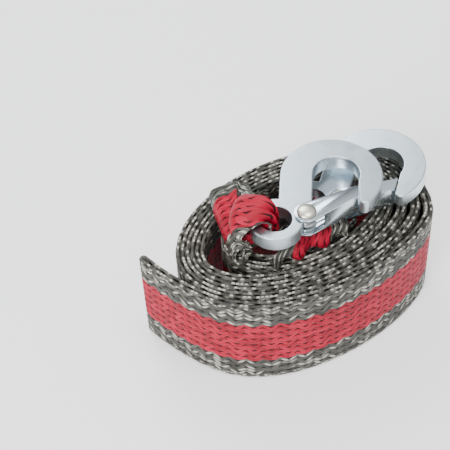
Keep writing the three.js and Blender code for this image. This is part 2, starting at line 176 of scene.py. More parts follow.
# %% [markdown]
# The webbing is 50 mm wide and 1.8 mm thick. It is woven from coarse flat yarns that lean
# one way and then the other, so they make rows of zigzags along the strap: a row is 2 mm
# high and a zigzag 7.4 mm long. Fifty rows go once round the strap. Twelve rows in the
# middle of each face are crimson, the rest grey, so the colours meet in a zigzag. Where a
# yarn dives under the next, a short gap is left between two rows, and the shade in it is
# painted dark. On the edges the zigzag fades and the stitches are half as long.

# %% Weave
WEBBING_WIDTH = 50.0
WEBBING_THICKNESS = 1.8
CLEARANCE = 0.3
LAYER = WEBBING_THICKNESS + CLEARANCE
EDGE_RADIUS = WEBBING_THICKNESS / 2
EDGE_ARC = math.pi * EDGE_RADIUS / 2
FLAT_WIDTH = WEBBING_WIDTH - WEBBING_THICKNESS
GIRTH = 2 * FLAT_WIDTH + math.pi * WEBBING_THICKNESS
ROWS_ROUND = 50
FACE_ROWS = ROWS_ROUND / 2
HALF_FACE_ROWS = FACE_ROWS / 2
ROW = GIRTH / ROWS_ROUND
STITCH = 7.4
RED_FROM, RED_TO = 6.5, 18.5
SWAY_FADE_ROWS, LEAST_SWAY = 1.6, 0.25
SHORT_STITCH_ROWS = 1.2
RIDGE_POWER = 0.7
BELLY_POWER, BELLY_SHARE = 0.6, 0.25
GAP_LENGTH, GAP_NARROWING, GAP_STRENGTH, GAP_DEPTH = 0.24, 3.0, 2.2, 0.85


def weave_height(along, round_):
    """How far the yarn stands up, 0 to 1, at a length and a place round the section."""
    stitch = along / STITCH
    row = round_ / ROW
    to_edge = np.abs((row + HALF_FACE_ROWS) % FACE_ROWS - HALF_FACE_ROWS)
    sway = np.clip(to_edge / SWAY_FADE_ROWS, LEAST_SWAY, 1)
    zigzag = np.abs(2 * (stitch % 1) - 1) - 0.5
    row = row + sway * zigzag
    ridge = np.abs(np.cos(np.pi * (row - np.round(row)))) ** RIDGE_POWER
    double = np.where(to_edge < SHORT_STITCH_ROWS, 2, 1)
    belly = np.abs(np.sin(2 * np.pi * double * stitch)) ** BELLY_POWER
    between_rows = np.floor(row)
    dive = (stitch - 0.5 * (between_rows % 2)) % 1
    dive = np.minimum(dive, 1 - dive)
    gap_along = np.clip(1 - dive / GAP_LENGTH, 0, 1)
    gap_across = np.clip(1 - GAP_NARROWING * np.abs(row - between_rows - 0.5), 0, 1)
    gap = np.clip(GAP_STRENGTH * gap_along * gap_across, 0, 1)
    raised = (0.5 + 0.5 * ridge) * (1 - BELLY_SHARE + BELLY_SHARE * belly)
    return raised * (1 - GAP_DEPTH * gap)


def section(round_):
    """A point of the webbing's section and its normal, round from the lower edge's crest."""
    r = EDGE_RADIUS
    if round_ > GIRTH / 2:
        (face, across), (nf, na) = section(GIRTH - round_)
        return (-face, across), (-nf, na)
    if round_ < EDGE_ARC:
        turn = round_ / r
        return (r * math.sin(turn), r - r * math.cos(turn)), (math.sin(turn), -math.cos(turn))
    if round_ < EDGE_ARC + FLAT_WIDTH:
        return (r, r + round_ - EDGE_ARC), (1.0, 0.0)
    turn = (round_ - EDGE_ARC - FLAT_WIDTH) / r
    across = WEBBING_WIDTH - r + r * math.sin(turn)
    return (r * math.cos(turn), across), (math.cos(turn), math.sin(turn))


print("webbing girth, mm:", round(GIRTH, 2), "row, mm:", round(ROW, 3))

# %% [markdown]
# A stretch of webbing is swept as a mesh: at each station along the strap the section is
# set between a lower and an upper rail, and each point is pushed out by the height of the
# yarn there. Where the cloth is gathered, the section bows up in an arch and its face
# ripples in pleats. The mesh keeps the strap's own length and girth as its UV map, so the
# weave follows the cloth round every bend.

# %% Section of a gathered strap
RELIEF = 0.46
MEAN_HEIGHT = 0.7
EDGE_MARGIN = 1.6
BACK_MARGIN = 4
ARCH_POWER = 0.8
PLEATS = 3
FULL_ARCH, MOST_ROUNDING = 6.0, 0.85


def rounds(face_step, back_step, edge_step):
    """Places round the section: close together on the edges, and as asked on the faces."""
    edge = EDGE_ARC + EDGE_MARGIN
    half = GIRTH / 2
    spans = [
        (0, edge, edge_step), (edge, half - edge, face_step), (half - edge, half, edge_step),
        (half, half + edge, edge_step), (half + edge, GIRTH - edge, back_step),
        (GIRTH - edge, GIRTH, edge_step),
    ]
    places = []
    for start, end, step in spans:
        count = max(1, round((end - start) / step))
        places += [start + (end - start) * i / count for i in range(count)]
    return places + [GIRTH]


def face_middle(place):
    """The middle of the face that a place round the section lies on."""
    return GIRTH / 4 if place <= GIRTH / 2 else 3 * GIRTH / 4


def swept_points(rails, face, lengths, places, smooth_back, arch, pleat, shown):
    """The mesh points, station by station, with the yarns in relief."""
    low, high = rails
    across = high - low
    edge = across / np.linalg.norm(across, axis=1)[:, None]
    rounded = np.clip(np.abs(arch) / FULL_ARCH, 0, MOST_ROUNDING)
    ring = []
    for place in places[:-1]:
        (f, a), (nf, na) = section(place)
        middle = face_middle(place)
        push = RELIEF * (weave_height(lengths, middle + (place - middle) * shown) - MEAN_HEIGHT)
        if smooth_back and GIRTH / 2 + BACK_MARGIN < place < GIRTH - BACK_MARGIN:
            push = push * 0
        share = a / WEBBING_WIDTH
        bow = arch * max(0, math.sin(math.pi * share)) ** ARCH_POWER
        bow = bow + pleat * math.cos(2 * PLEATS * math.pi * share)
        sideways = share + rounded * (0.5 - 0.5 * math.cos(math.pi * share) - share)
        point = low + across * sideways[:, None] + face * (f + bow)[:, None]
        ring.append(point + (face * nf + edge * na) * push[:, None])
    return np.stack(ring, axis=1).reshape(-1, 3) * MM


print("places round a fine section:", len(rounds(0.7, 0.7, 0.6)) - 1)

# %% [markdown]
# Neighbouring stations are joined by quads. A loop closes on itself, and any other stretch
# gets a flat cap at each end. Each corner notes its length along the strap and its place
# round the section, and those two numbers are all that the weave needs.

# %% Sweep a stretch of webbing
def swept_faces(lengths, places, closed, shown):
    """The quads between stations and their UVs, with a cap on each open end."""
    count, around = len(lengths), len(places) - 1
    step = lengths[-1] - lengths[-2]
    quads, uvs = [], []
    for i in range(count if closed else count - 1):
        j = (i + 1) % count
        s0, s1 = lengths[i], lengths[i] + step if j == 0 else lengths[j]
        for k in range(around):
            n = (k + 1) % around
            middle = face_middle((places[k] + places[k + 1]) / 2)
            quads.append((i * around + k, i * around + n, j * around + n, j * around + k))
            for s, p, t in ((s0, k, i), (s0, k + 1, i), (s1, k + 1, j), (s1, k, j)):
                uvs.append((s, middle + (places[p] - middle) * shown[t]))
    if not closed:
        last = (count - 1) * around
        quads.append(tuple(range(around))[::-1])
        uvs += [(lengths[0], q) for q in places[:-1]][::-1]
        quads.append(tuple(range(last, last + around)))
        uvs += [(lengths[-1], q) for q in places[:-1]]
    return quads, uvs


def sweep_webbing(name, low, high, face, lengths, places, closed=False, smooth_back=False,
                  arch=0, pleat=0, shown=1):
    """Builds a stretch from its rails, its face direction and its length at each station.

    arch and pleat bow and gather the section at each station, in mm, and shown is the share
    of the webbing's width that its face shows there. smooth_back leaves the yarns off a
    back that only other turns touch.
    """
    lengths = np.asarray(lengths, float)
    arch, pleat, shown = (np.ones(len(lengths)) * a for a in (arch, pleat, shown))
    points = swept_points((low, high), face, lengths, places, smooth_back, arch, pleat, shown)
    quads, uvs = swept_faces(lengths, places, closed, shown)
    mesh = bpy.data.meshes.new(name)
    mesh.from_pydata(points.tolist(), [], quads)
    layer = mesh.uv_layers.new(name="weave")
    layer.data.foreach_set("uv", (np.array(uvs) * MM).ravel())
    mesh.polygons.foreach_set("use_smooth", [True] * len(mesh.polygons))
    mesh.update()
    piece = bpy.data.objects.new(name, mesh)
    bpy.context.scene.collection.objects.link(piece)
    print(name, "triangles:", 2 * len(quads), "length, mm:", round(lengths[-1] - lengths[0], 1))
    return piece


# %% [markdown]
# The coil is a spiral of double webbing. Each turn is given by how far its outer face lies
# from the centre along the normal, so neighbouring layers keep the same spacing all round.
# Outside it is an oval, and the last turns sag into a flatter, slacker core.

# %% Path of the coil
COIL_HALF_LENGTH = 61.4
COIL_HALF_WIDTH = 40.7
COIL_CENTRE_Y = 1.8
WOUND_TURNS = 5.22
LOOSE_TURNS = 3.4
CORE_END_RADIUS = 12
CORE_TIP_RADIUS = 0.456
CORE_SLACK = 9
TAIL_ANGLE = -148
TAIL_LENGTH = 37
TAIL_BEND = 19
TAIL_STEPS = 40
FOLD_STEPS = 16
FULL_BENDS = ((-48, 5.6), (-112, 2))
FULL_BEND_SPREAD = 1.3
REAR_END_TURNS = 0.5
PLAN_SHIFT = np.array((3.929, 0.116))


def reach(angle, turns):
    """How far the outer face lies from the centre along the normal, and its slope."""
    c, s = math.cos(angle), math.sin(angle)
    a, b = COIL_HALF_LENGTH, COIL_HALF_WIDTH
    core = turns > LOOSE_TURNS
    if core and s > 0:
        straight = a - 2 * LAYER * LOOSE_TURNS - CORE_END_RADIUS
        bulge = math.sqrt(CORE_TIP_RADIUS * straight)
        oval = math.hypot(straight * c, bulge * s)
        far = oval + CORE_END_RADIUS - 2 * LAYER * (turns - LOOSE_TURNS)
        slope = (bulge ** 2 - straight ** 2) * s * c / oval
    else:
        oval = math.hypot(a * c, b * s)
        far = oval - 2 * LAYER * turns
        slope = (b * b - a * a) * s * c / oval
    if core and c < 0:
        far -= CORE_SLACK * c * c
        slope += 2 * CORE_SLACK * c * s
    fade = max(0, 1 - turns / LOOSE_TURNS)
    for place, fullness in FULL_BENDS:
        apart = math.remainder(angle - math.radians(place), 2 * math.pi)
        swing = max(-math.pi / 2, min(math.pi / 2, apart * FULL_BEND_SPREAD))
        far += fade * fullness * math.cos(swing) ** 4
        slope -= fade * fullness * 4 * FULL_BEND_SPREAD * math.cos(swing) ** 3 * math.sin(swing)
    return far + COIL_CENTRE_Y * s, slope + COIL_CENTRE_Y * c


def coil_stations(end_turns, degrees=0.75):
    """Points of the outer face and their normals, from where the tail leaves, inwards."""
    points, normals = [], []
    for i in range(int(end_turns * 360 / degrees) + 1):
        turns = i * degrees / 360
        angle = math.radians(TAIL_ANGLE + 360 * turns)
        far, slope = reach(angle, turns)
        normal = np.array((math.cos(angle), math.sin(angle)))
        points.append(far * normal + slope * np.array((-normal[1], normal[0])))
        normals.append(normal)
    return points, normals


def tail_stations(point, normal):
    """The tail bends gently away from the coil. Its tip is the fold at mid-length."""
    points, normals = [], []
    for i in range(1, TAIL_STEPS + 1):
        bend = -math.radians(TAIL_BEND * i / TAIL_STEPS)
        turn = np.array(((math.cos(bend), -math.sin(bend)), (math.sin(bend), math.cos(bend))))
        n = turn @ normal
        point = point + np.array((n[1], -n[0])) * TAIL_LENGTH / TAIL_STEPS
        points.append(point)
        normals.append(n)
    return points, normals


def strap_path():
    """The strap's middle line and its marked face, end to end, and where it folds."""
    wound, wound_normals = coil_stations(WOUND_TURNS)
    tail, tail_normals = tail_stations(wound[0], wound_normals[0])
    points = tail[::-1] + wound
    normals = tail_normals[::-1] + wound_normals
    short = len(tail) + len(coil_stations(WOUND_TURNS - REAR_END_TURNS)[0])
    line, face = [], []
    for i in range(short - 1, -1, -1):
        line.append(points[i] - normals[i] * EDGE_RADIUS)
        face.append(normals[i])
    tip, normal = points[0], normals[0]
    ahead = np.array((normal[1], -normal[0]))
    middle = tip - normal * (LAYER - CLEARANCE / 2)
    radius = LAYER / 2
    for i in range(1, FOLD_STEPS):
        turn = math.pi * i / FOLD_STEPS
        way = normal * math.cos(turn) + ahead * math.sin(turn)
        line.append(middle + way * radius)
        face.append(way)
    for point, n in zip(points, normals):
        line.append(point - n * (LAYER + EDGE_RADIUS))
        face.append(-n)
    line = np.array(line) + PLAN_SHIFT
    steps = np.linalg.norm(np.diff(line, axis=0), axis=1)
    lengths = np.concatenate([[0], np.cumsum(steps)])
    return line, np.array(face), lengths, lengths[short + FOLD_STEPS // 2]


LINE, FACE, LENGTHS, FOLD_AT = strap_path()
print("coiled strap, mm:", round(LENGTHS[-1]), "fold at, mm:", round(FOLD_AT))


FLOOR_GAP = RELIEF * 0.4


def stretch(name, start, end, step, places, smooth_back=False):
    """The part of the coil between two lengths, on edge on the floor."""
    count = int((end - start) / step) + 1
    lengths = np.linspace(start, end, count)
    x, y = (np.interp(lengths, LENGTHS, LINE[:, k]) for k in (0, 1))
    fx, fy = (np.interp(lengths, LENGTHS, FACE[:, k]) for k in (0, 1))
    size = np.hypot(fx, fy)
    zero = np.zeros(count)
    low = np.stack([x, y, zero + FLOOR_GAP], axis=1)
    high = np.stack([x, y, zero + WEBBING_WIDTH], axis=1)
    face = np.stack([fx / size, fy / size, zero], axis=1)
    return sweep_webbing(name, low, high, face, lengths, places, smooth_back=smooth_back)


# %% [markdown]
# Only the outer turn and the tail show a whole face of the cloth, so that stretch gets a
# fine mesh with the yarns in relief. The inner turns show their edges, so their mesh is
# fine on the edges and coarse on the faces, where the material's bump does the work.

# %% Coil
OUTER_BACK = 395.0
OUTER_AHEAD = 130.0
OUTER_START = FOLD_AT - OUTER_BACK
OUTER_END = FOLD_AT + OUTER_AHEAD
INNER_STEP = 0.62
inner_rounds = rounds(9, 9, INNER_STEP)
outer_turn = stretch(
    "webbing_outer_turn", OUTER_START, OUTER_END, 0.72, rounds(0.62, 4, 0.55), smooth_back=True)
inner_first = stretch("webbing_inner_first", 0.0, OUTER_START, INNER_STEP, inner_rounds)
inner_second = stretch("webbing_inner_second", OUTER_END, LENGTHS[-1], INNER_STEP, inner_rounds)

# %% [markdown]
# Each end loop goes through its hook's eye: from its fold on the coil the upper leaf climbs
# over the eye's wall, drops through the hole and comes back under the wall. The cloth has
# to narrow from 50 mm to the 8 mm that the hole lets through, so over the wall it stands
# up in an arch, and in the hole and under the wall it is pressed into pleats. A loop is
# set by two rails, one for each edge of the cloth, through the same twelve stations.

# %% Rails of the loops
HOOK_THICKNESS = 7.0
EYE_RADIUS = 11.5
EYE_HOLE_RADIUS = 6.8
GATHERED_THICKNESS = 3.2
GATHERED_WIDTH = 8.0
WIDTH_AT_HOLE = 15.0
WIDTH_UNDER = 20.0
YARN_ROOM = 0.2
ROOT_SINK = 0.4
FRONT_HOOK = {"eye": (-18.7, -9.7, 65.2), "turn": 14.8, "tilt": 0}
REAR_HOOK = {"eye": (6.1, 1.3, 52.5), "turn": 0.7, "tilt": 5}
FRONT_LOOP = {
    "hook": FRONT_HOOK, "pull": 120, "side": -1, "height": 9, "draped": 4.0, "over": 25.0,
    "fold": ((-36.2, -5.5), (-27.6, 30.6)),
    "upper": ((-31, -10.5, 62.5), (-16, 22.5, 63.5)),
    "lower": ((-31, -8, 56), (-18, 22, 56)),
}
REAR_LOOP = {
    "hook": REAR_HOOK, "pull": -102, "side": 1, "height": 5.5, "draped": 0.0, "over": 22.0,
    "fold": ((-24, -16.4), (13, -16.4)),
    "upper": ((-17, -12.8, 57.6), (12.8, -13.2, 58)),
    "lower": ((-18, -12, 51.4), (12.8, -12.8, 51.4)),
}


def hook_matrix(hook):
    """Places a hook's own frame, with its eye at the origin, in the part."""
    eye = Vector(hook["eye"]) + Vector((*PLAN_SHIFT, 0))
    turn = Matrix.Rotation(math.radians(hook["turn"]), 4, "Z")
    tilt = Matrix.Rotation(-math.radians(hook["tilt"]), 4, "Y")
    return Matrix.Translation(eye) @ turn @ tilt


def loop_rails(loop):
    """The two edges of a loop: fold, upper leaf, over, through and under the eye, lower leaf."""
    half = GATHERED_THICKNESS / 2
    free = EYE_HOLE_RADIUS - CLEARANCE
    inside = math.sqrt(free ** 2 - (GATHERED_WIDTH / 2) ** 2) - half
    past = EYE_RADIUS + CLEARANCE
    lift = CLEARANCE + half + YARN_ROOM
    edge = CLEARANCE + EDGE_RADIUS + YARN_ROOM
    threading = [
        (past, HOOK_THICKNESS + edge - loop["draped"], loop["over"]),
        (inside + lift, HOOK_THICKNESS + lift, WIDTH_AT_HOLE),
        (inside, HOOK_THICKNESS, GATHERED_WIDTH + 1),
        (inside, HOOK_THICKNESS / 2, GATHERED_WIDTH),
        (inside, 0, GATHERED_WIDTH),
        (inside + lift, -lift, GATHERED_WIDTH),
        (past, -edge, WIDTH_UNDER),
    ]
    cos_pull, sin_pull = (f(math.radians(loop["pull"])) for f in (math.cos, math.sin))
    place = hook_matrix(loop["hook"])
    ends = [np.array(p, float) for p in loop["fold"]]
    inward = np.array(loop["hook"]["eye"][:2]) - (ends[0] + ends[1]) / 2
    inward *= WEBBING_THICKNESS / np.linalg.norm(inward)
    low = WEBBING_WIDTH + EDGE_RADIUS - ROOT_SINK
    shift = np.array((*PLAN_SHIFT, 0))
    rails = []
    for k, turn in ((0, -1), (1, 1)):
        x, y = ends[k] + PLAN_SHIFT
        rail = [
            (x + inward[0], y + inward[1], low),
            (x, y, low + loop["height"] / 2),
            (x + inward[0], y + inward[1], low + loop["height"]),
            tuple(np.array(loop["upper"][k]) + shift),
        ]
        for out, z, width in threading:
            aside = turn * loop["side"] * width / 2
            along, beside = out * cos_pull - aside * sin_pull, out * sin_pull + aside * cos_pull
            rail.append(tuple(place @ Vector((along, beside, z))))
        rail.append(tuple(np.array(loop["lower"][k]) + shift))
        rails.append(np.array(rail))
    return rails


def smooth_ring(points, per_span):
    """A closed curve through the points, close to a centripetal Catmull-Rom curve."""
    points = np.asarray(points, float)
    count = len(points)
    out = []
    for i in range(count):
        p = [points[(i + k) % count] for k in (-1, 0, 1, 2)]
        t = [0.0]
        for a, b in zip(p, p[1:]):
            t.append(t[-1] + max(np.linalg.norm(b - a), 1e-4) ** 0.5)
        for step in range(per_span):
            u = t[1] + (t[2] - t[1]) * step / per_span
            mixed = p
            for span in (1, 2):
                ahead = t[span:]
                mixed = [
                    (mixed[k] * (ahead[k] - u) + mixed[k + 1] * (u - t[k])) / (ahead[k] - t[k])
                    for k in range(4 - span)
                ]
            out.append((mixed[0] * (t[2] - u) + mixed[1] * (u - t[1])) / (t[2] - t[1]))
    return np.array(out)


print("eye hole, mm:", 2 * EYE_HOLE_RADIUS, "gathered strap, mm:", GATHERED_WIDTH)

# %% [markdown]
# How high the cloth arches and how deep its pleats are is given at the same twelve
# stations, in millimetres, and eased between them. The front loop rises in a tall round
# arch over the eye's wall. The rear one lies almost flat there, clear of the front latch.

# %% Gathered end loops
FRONT_ARCH = (0, 0.8, 1.6, 4.6, 7.0, 4.6, 1.6, 0.8, 0.8, 1.2, 1.5, 0.5)
FRONT_PLEAT = (0.2, 0.1, 0.1, 0.1, 0.1, 0.9, 2.4, 2.8, 2.8, 2.9, 2.6, 0.7)
REAR_ARCH = (0, 0.5, 0.4, 0.3, 0.2, 0.2, 0.5, 0.8, 0.8, 1.2, 1.0, 0.5)
REAR_PLEAT = (2.1, 1.1, 0.6, 0.5, 0.4, 0.4, 2.4, 2.9, 3.0, 3.1, 3.1, 2.8)
LOOP_SPAN = 24
LEAST_SHOWN, SHOWN_FULLNESS = 0.5, 1.45


def end_loop(name, loop, arch, pleat):
    """Sweeps a closed band round a loop's rails, and tells how long it is round."""
    low, high = (smooth_ring(rail, LOOP_SPAN) for rail in loop_rails(loop))

    def eased(values):
        ring = np.append(values, values[0])
        return outward * np.interp(np.arange(len(low)) / LOOP_SPAN, np.arange(len(ring)), ring)

    middle = (low + high) / 2
    along = np.roll(middle, -1, axis=0) - np.roll(middle, 1, axis=0)
    face = np.cross(along, high - low)
    face /= np.linalg.norm(face, axis=1)[:, None]
    outward = 1 if np.sum(face * (middle - middle.mean(axis=0))) > 0 else -1
    steps = np.linalg.norm(np.roll(middle, -1, axis=0) - middle, axis=1)
    lengths = np.concatenate([[0], np.cumsum(steps)])
    total = lengths[-1]
    scale = STITCH * round(total / STITCH) / total
    wide = np.linalg.norm(high - low, axis=1)
    shown = np.clip(SHOWN_FULLNESS * wide / WEBBING_WIDTH, LEAST_SHOWN, 1)
    piece = sweep_webbing(
        name, low, high, face, lengths[:-1] * scale, rounds(0.7, 0.7, 0.6), closed=True,
        arch=eased(arch), pleat=eased(pleat), shown=shown)
    print(name, "round, mm:", round(total, 1))
    return piece, total


front_loop, FRONT_ROUND = end_loop("webbing_front_loop", FRONT_LOOP, FRONT_ARCH, FRONT_PLEAT)
rear_loop, REAR_ROUND = end_loop("webbing_rear_loop", REAR_LOOP, REAR_ARCH, REAR_PLEAT)

# %% [markdown]
# Webbing like this is polypropylene: slightly glossy flat yarns of many thin filaments.
# The same sums that shaped the mesh are repeated as nodes on its UV map, so the colours
# change just where the yarns do, and the hidden faces get the weave as bump.

# %% The weave as nodes
webbing_cloth, cloth_tree, cloth_shader = new_material("woven_polypropylene")
uv = add_node(cloth_tree, "ShaderNodeUVMap", {"uv_map": "weave"})
cloth_place = add_node(cloth_tree, "ShaderNodeSeparateXYZ", Vector=uv.outputs[0])


def maths(operation, *values):
    """A Math node on numbers or sockets."""
    inputs = {f"i{k}": value for k, value in enumerate(values)}
    return add_node(cloth_tree, "ShaderNodeMath", {"operation": operation}, **inputs).outputs[0]


stitch = maths("DIVIDE", cloth_place.outputs[0], STITCH * MM)
flat_row = maths("DIVIDE", cloth_place.outputs[1], ROW * MM)
face_row = maths("FLOORED_MODULO", maths("ADD", flat_row, HALF_FACE_ROWS), FACE_ROWS)
to_edge = maths("ABSOLUTE", maths("SUBTRACT", face_row, HALF_FACE_ROWS))
sway = maths("MINIMUM", maths("DIVIDE", to_edge, SWAY_FADE_ROWS), 1.0)
sway = maths("MAXIMUM", sway, LEAST_SWAY)
swing = maths("SUBTRACT", maths("MULTIPLY", maths("FRACT", stitch), 2.0), 1.0)
zigzag = maths("SUBTRACT", maths("ABSOLUTE", swing), 0.5)
row = maths("ADD", flat_row, maths("MULTIPLY", sway, zigzag))
row_number = maths("ROUND", row)
off_ridge = maths("MULTIPLY", maths("SUBTRACT", row, row_number), math.pi)
ridge = maths("POWER", maths("ABSOLUTE", maths("COSINE", off_ridge)), RIDGE_POWER)
double = maths("ADD", maths("LESS_THAN", to_edge, SHORT_STITCH_ROWS), 1.0)
floats = maths("MULTIPLY", maths("MULTIPLY", stitch, double), 2.0)
belly = maths("ABSOLUTE", maths("SINE", maths("MULTIPLY", floats, math.pi)))
belly = maths("POWER", belly, BELLY_POWER)
between_rows = maths("FLOOR", row)
odd = maths("FLOORED_MODULO", between_rows, 2.0)
dive = maths("FRACT", maths("SUBTRACT", stitch, maths("MULTIPLY", odd, 0.5)))
dive = maths("MINIMUM", dive, maths("SUBTRACT", 1.0, dive))
off_gap = maths("ABSOLUTE", maths("SUBTRACT", maths("SUBTRACT", row, between_rows), 0.5))
gap_along = maths("SUBTRACT", 1.0, maths("DIVIDE", dive, GAP_LENGTH))
gap_across = maths("SUBTRACT", 1.0, maths("MULTIPLY", off_gap, GAP_NARROWING))
gap = maths("MULTIPLY", maths("MAXIMUM", gap_along, 0.0), maths("MAXIMUM", gap_across, 0.0))
gap = maths("MINIMUM", maths("MULTIPLY", gap, GAP_STRENGTH), 1.0)
raised = maths("MULTIPLY_ADD", belly, BELLY_SHARE, 1 - BELLY_SHARE)
raised = maths("MULTIPLY", maths("MULTIPLY_ADD", ridge, 0.5, 0.5), raised)
height = maths("MULTIPLY", raised, maths("SUBTRACT", 1.0, maths("MULTIPLY", gap, GAP_DEPTH)))
print("weave row, mm:", round(ROW, 3), "stitch, mm:", STITCH)

# %% [markdown]
# The grey yarns mix black and white filaments, so each float gets its own random tone. The
# highest crowns of the lighter grey floats are painted almost white: a painted highlight
# where the glossy yarn catches the light. The crimson yarns are dyed evenly and vary less.
# The hollows between yarns are painted nearly black as painted shade. Real filaments are
# far too fine to show, so the noise that stands for them is coarser, in streaks about
# 0.3 mm across and 1.5 mm long.

# %% Woven polypropylene
def blend(share, a, b):
    """Mixes two colours by a share from 0 to 1."""
    settings = {"data_type": "RGBA"}
    return add_node(cloth_tree, "ShaderNodeMix", settings, i0=share, i6=a, i7=b).outputs[2]


def flat_noise(kind, x, y, **links):
    """A texture node on a flat grid of x and y."""
    place = add_node(cloth_tree, "ShaderNodeCombineXYZ", X=x, Y=y).outputs[0]
    return add_node(cloth_tree, kind, {"noise_dimensions": "2D"}, Vector=place, **links)


folded_row = maths("ABSOLUTE", maths("SUBTRACT", row, FACE_ROWS))
folded_row = maths("SUBTRACT", FACE_ROWS, folded_row)
above_grey = maths("GREATER_THAN", folded_row, RED_FROM)
red_share = maths("MULTIPLY", above_grey, maths("LESS_THAN", folded_row, RED_TO))
shade = flat_noise("ShaderNodeTexWhiteNoise", maths("FLOOR", floats), row_number).outputs["Value"]
fibres = flat_noise(
    "ShaderNodeTexNoise", maths("MULTIPLY", stitch, 5.0), maths("MULTIPLY", row, 7.0),
    Scale=1.0, Detail=2.0).outputs[0]
tone = maths("ADD", maths("MULTIPLY", shade, 0.6), maths("MULTIPLY", fibres, 0.4))
# Painted highlight: where a grey float stands highest and its tone is light, its crown is painted
# almost white, as the light it would catch.
painted_crown_highlight = maths("MULTIPLY", maths("GREATER_THAN", height, 0.9), maths("GREATER_THAN", tone, 0.58))
grey = ramp(cloth_tree, tone, (0.1, "282724"), (0.5, "55544e"), (0.9, "868479"))
grey = blend(painted_crown_highlight, grey, hex_colour("c6c4ba"))
red = ramp(cloth_tree, tone, (0.1, "7e001c"), (0.5, "a60328"), (0.9, "c5163d"))
# Painted shade: the hollows between yarns get a nearly black colour, and lit blends from this
# painted shade to the yarn's own colour as the yarn rises.
painted_hollow_shade = blend(red_share, hex_colour("0b0b0a"), hex_colour("230509"))
lit = add_node(
    cloth_tree, "ShaderNodeMapRange", {"interpolation_type": "SMOOTHSTEP"}, Value=height)
lit.inputs["From Min"].default_value = 0.2
lit.inputs["From Max"].default_value = 0.52
yarn_colour = blend(lit.outputs[0], painted_hollow_shade, blend(red_share, grey, red))
cloth_tree.links.new(yarn_colour, cloth_shader.inputs["Base Color"])
coarse = add_node(cloth_tree, "ShaderNodeBump", Strength=0.55, Distance=0.00035, Height=height)
fine = add_node(
    cloth_tree, "ShaderNodeBump", Strength=0.35, Distance=0.0001, Height=fibres,
    Normal=coarse.outputs[0])
cloth_tree.links.new(fine.outputs[0], cloth_shader.inputs["Normal"])
cloth_shader.inputs["Roughness"].default_value = 0.58
cloth_shader.inputs["Specular IOR Level"].default_value = 0.28
print(webbing_cloth.name, "nodes:", len(cloth_tree.nodes))

# %% [markdown]
# The whole webbing is one measured piece, and the five stretches stand for it. Each gets
# the woven cloth and moves with the strap, and the measured piece is hidden.

# %% Dress the webbing
webbing_pieces = (outer_turn, inner_first, inner_second, front_loop, rear_loop)
for piece in webbing_pieces:
    piece.data.materials.append(webbing_cloth)
    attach(piece, "strap")
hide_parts("webbing_strap")
print("webbing pieces:", len(webbing_pieces))

# %% [markdown]
# The hooks are forged from steel plate, tumbled smooth and zinc plated. Bright zinc is a
# cool white metal with soft, cloudy reflections, so the roughness drifts a little.

# %% Bright zinc plate
def metal(name, colour, roughness, cloud, size):
    """A plated metal. Its roughness drifts by cloud, over patches of a size in mm."""
    material, tree, shader = new_material(name)
    place = add_node(tree, "ShaderNodeTexCoord")
    noise = add_node(
        tree, "ShaderNodeTexNoise", Vector=place.outputs["Object"], Scale=1 / (size * MM),
        Detail=4.0)
    spread = add_node(tree, "ShaderNodeMapRange", Value=noise.outputs["Fac"])
    spread.inputs["To Min"].default_value = roughness - cloud
    spread.inputs["To Max"].default_value = roughness + cloud
    tree.links.new(spread.outputs[0], shader.inputs["Roughness"])
    grain = add_node(
        tree, "ShaderNodeBump", Strength=0.12, Distance=0.0002, Height=noise.outputs["Fac"])
    tree.links.new(grain.outputs[0], shader.inputs["Normal"])
    shader.inputs["Base Color"].default_value = hex_colour(colour)
    shader.inputs["Metallic"].default_value = 1.0
    return material


zinc = metal("bright_zinc_plate", "d3dde3", 0.3, 0.12, 6)
latch_zinc = metal("zinc_plated_sheet", "c6d0d6", 0.2, 0.08, 4)
rivet_steel = metal("tumbled_rivet_steel", "e9e4d2", 0.34, 0.05, 3)
wire_steel = metal("drawn_spring_wire", "c9ccce", 0.3, 0.05, 2)
print("metals:", [m.name for m in (zinc, latch_zinc, rivet_steel, wire_steel)])

# %% [markdown]
# A hook is forged from 7 mm plate. Seen from above it is one outline of arcs: the eye, the
# small boss that carries the latch, the throat, the rounded nose and the wide bow. Where
# two arcs meet is worked out from their radii, so the outline has no gap.

# %% Hook outline
BOW_CENTRE, BOW_RADIUS = np.array((34.5, 0.0)), 21.8
THROAT_CENTRE, THROAT_RADIUS, THROAT_END_ANGLE = np.array((36.5, -1.0)), 10.0, -68
PIVOT, PIVOT_BOSS_RADIUS, RIVET_RADIUS, LUG = np.array((10.6, -7.6)), 3.9, 2.2, 1.3
SHANK_ANGLE = 41
NOSE_RADIUS, NOSE_ANGLE = 2.4, -92
RIM_ROUNDING = 1.75
SHORTEST_EDGE = 0.05


def arc(centre, radius, start, end, steps):
    """Points on an arc between two angles in degrees."""
    angles = np.radians(np.linspace(start, end, steps + 1))
    return [tuple(centre + radius * np.array((math.cos(a), math.sin(a)))) for a in angles]


def unit(degrees):
    """A direction in the plate's plane."""
    return np.array((math.cos(math.radians(degrees)), math.sin(math.radians(degrees))))


def angle_to(centre, point):
    return math.degrees(math.atan2(point[1] - centre[1], point[0] - centre[0]))


